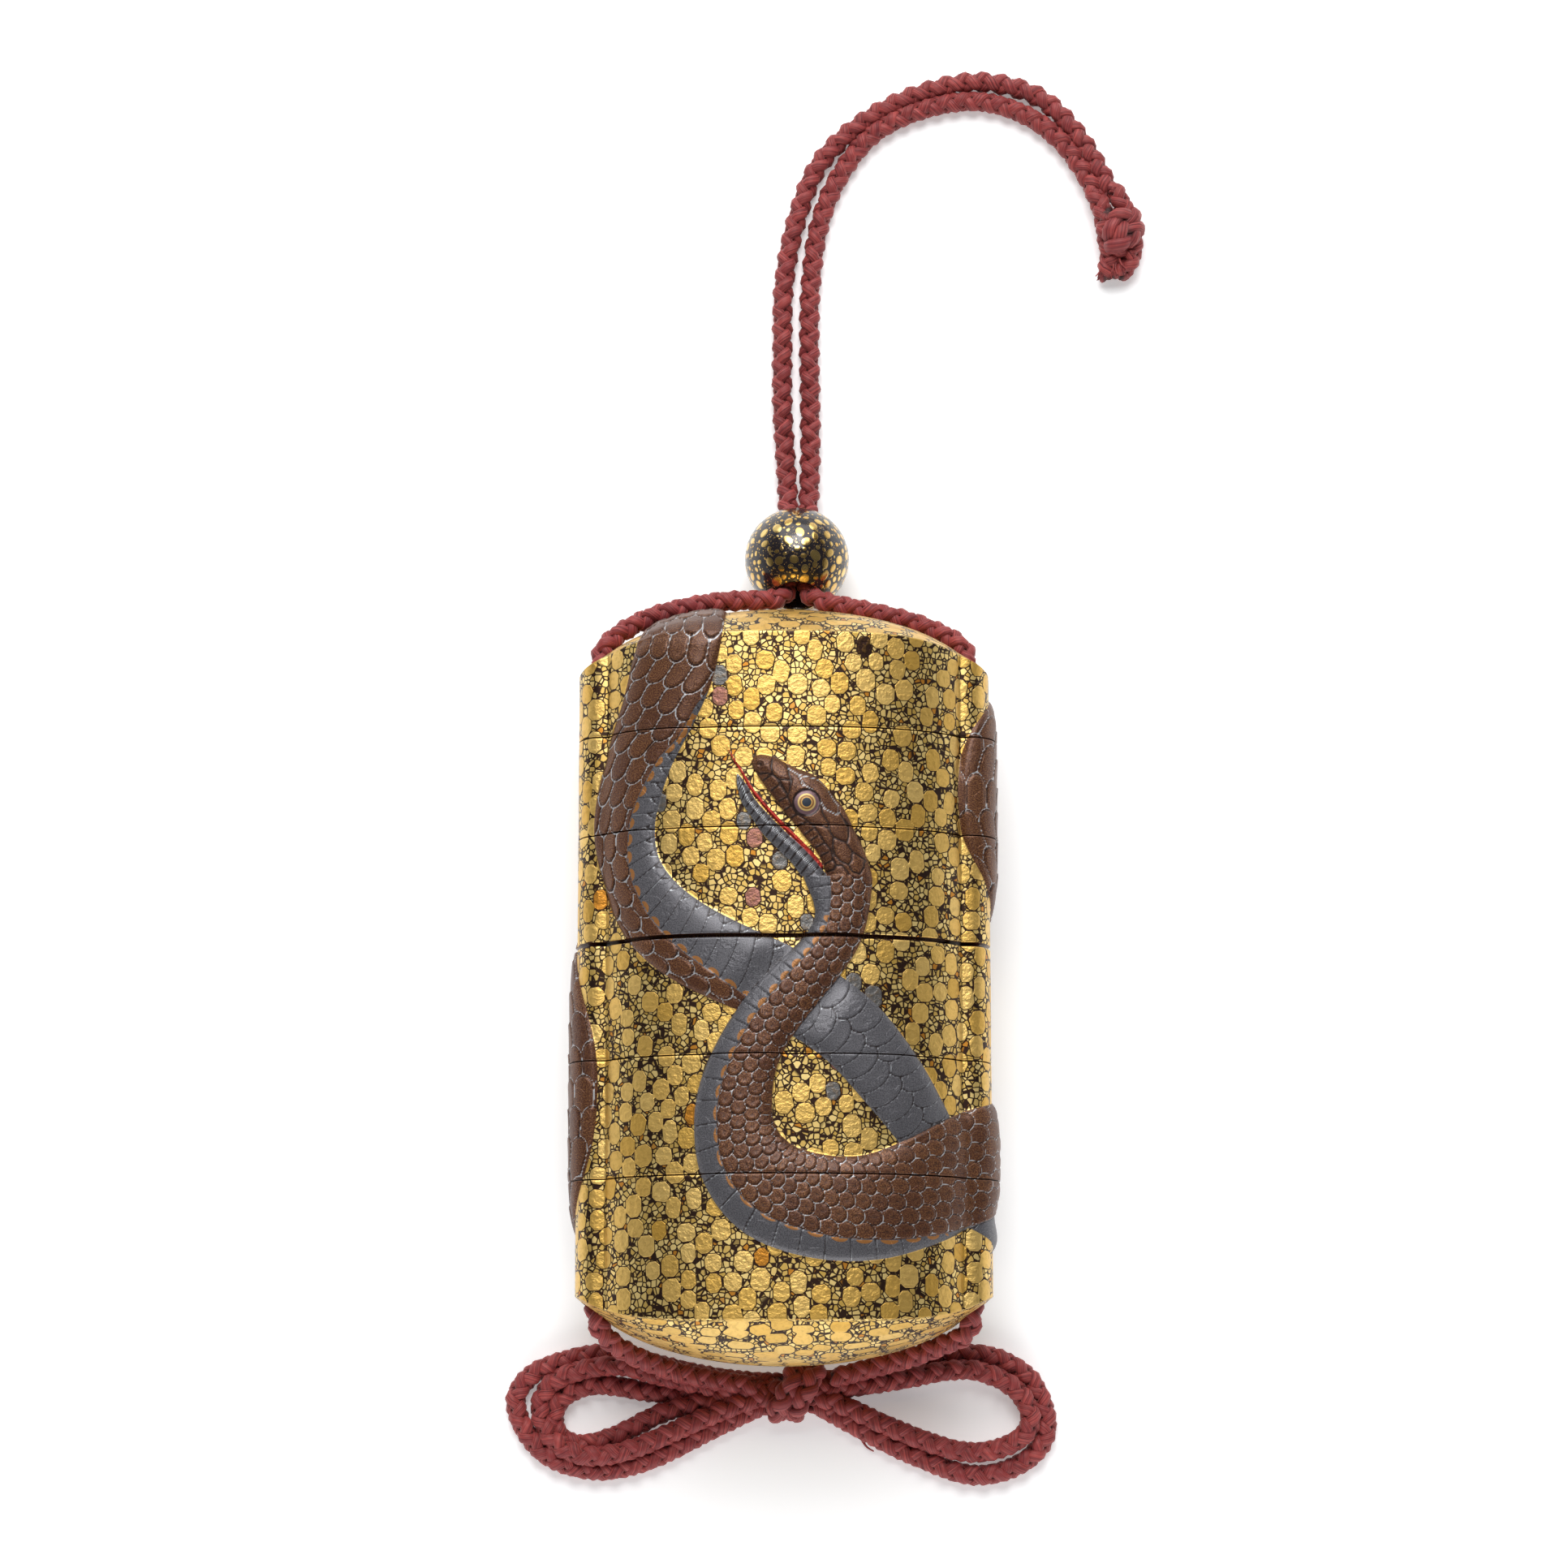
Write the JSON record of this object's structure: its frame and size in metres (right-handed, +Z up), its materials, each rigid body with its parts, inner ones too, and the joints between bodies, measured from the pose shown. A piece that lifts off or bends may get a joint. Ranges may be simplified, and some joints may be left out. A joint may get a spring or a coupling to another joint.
{
  "type": "inro case",
  "caption": "Stacked lacquered inro case with lid, raised snake in relief, braided silk cord with bow and end knot, and a round bead; lies on its back.",
  "frame": {"origin": "on the table under the middle of the case, as it lies on its back", "axes": "+X across to the right as seen from above, +Y along the case from the bottom end to the lid, +Z up out of the front face"},
  "size_m": [0.0797, 0.1785, 0.0256],
  "materials": {
    "gold_lacquer": "black lacquer over wood, set with gold flakes, with a snake in raised brown and grey lacquer, polished",
    "bead_lacquer": "polished black lacquer with round gold flakes",
    "silk": "four-strand round braid of dark red silk"
  },
  "bodies": {
    "root": {"lid": "gold_lacquer", "case_1": "gold_lacquer", "case_2": "gold_lacquer", "case_3": "gold_lacquer", "case_4": "gold_lacquer", "case_5": "gold_lacquer", "ojime_bead": "bead_lacquer", "cord_left": "silk", "cord_right": "silk", "end_knot": "silk", "bow_knot": "silk", "bow_loops_left": "silk", "bow_loops_right": "silk"}
  },
  "joints": []
}
